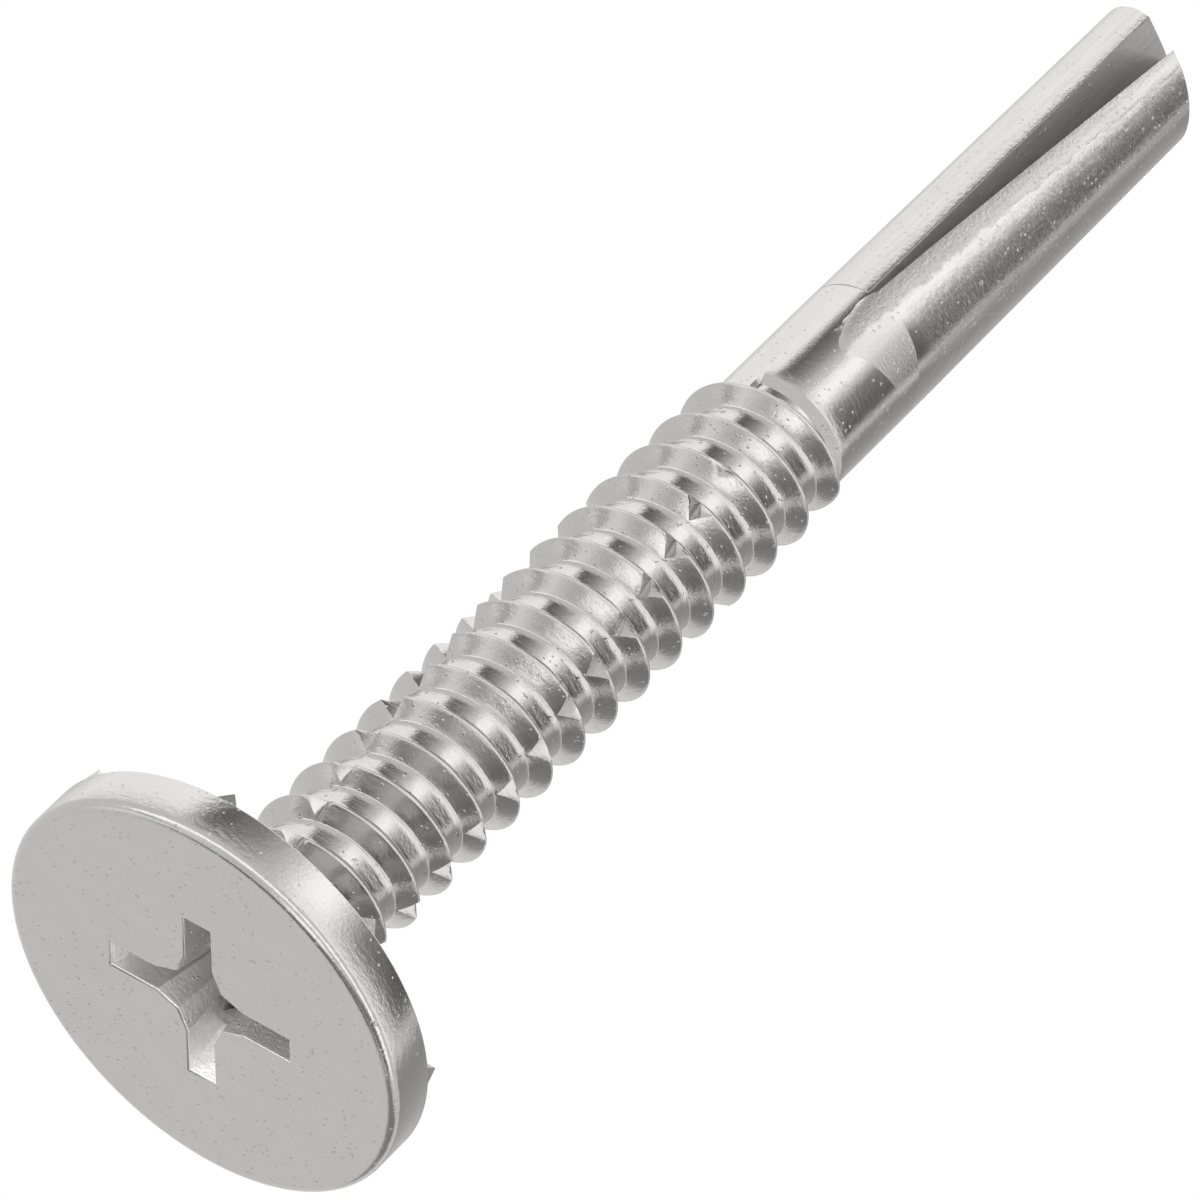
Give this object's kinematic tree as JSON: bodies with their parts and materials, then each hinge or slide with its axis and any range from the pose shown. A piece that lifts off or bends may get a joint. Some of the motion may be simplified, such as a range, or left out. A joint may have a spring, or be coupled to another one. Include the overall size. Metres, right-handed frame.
{
  "type": "self drilling screw",
  "caption": "Flat wafer head screw with a cross recess, ribs under the head, a notched coarse thread, a plain shank and a long fluted drill point.",
  "frame": {"origin": "centre of the flat head face, which is the side the screw stands on", "axes": "+Z runs along the screw from the head face to the drill point; the wings of the cross recess lie along X and Y, and the cutting edges of the drill end at its corners lie close to the X axis"},
  "size_m": [0.0156, 0.0156, 0.055],
  "materials": {
    "screw": "bright zinc plated steel, satin with fine marks"
  },
  "bodies": {
    "root": {"screw": "screw"}
  },
  "joints": []
}
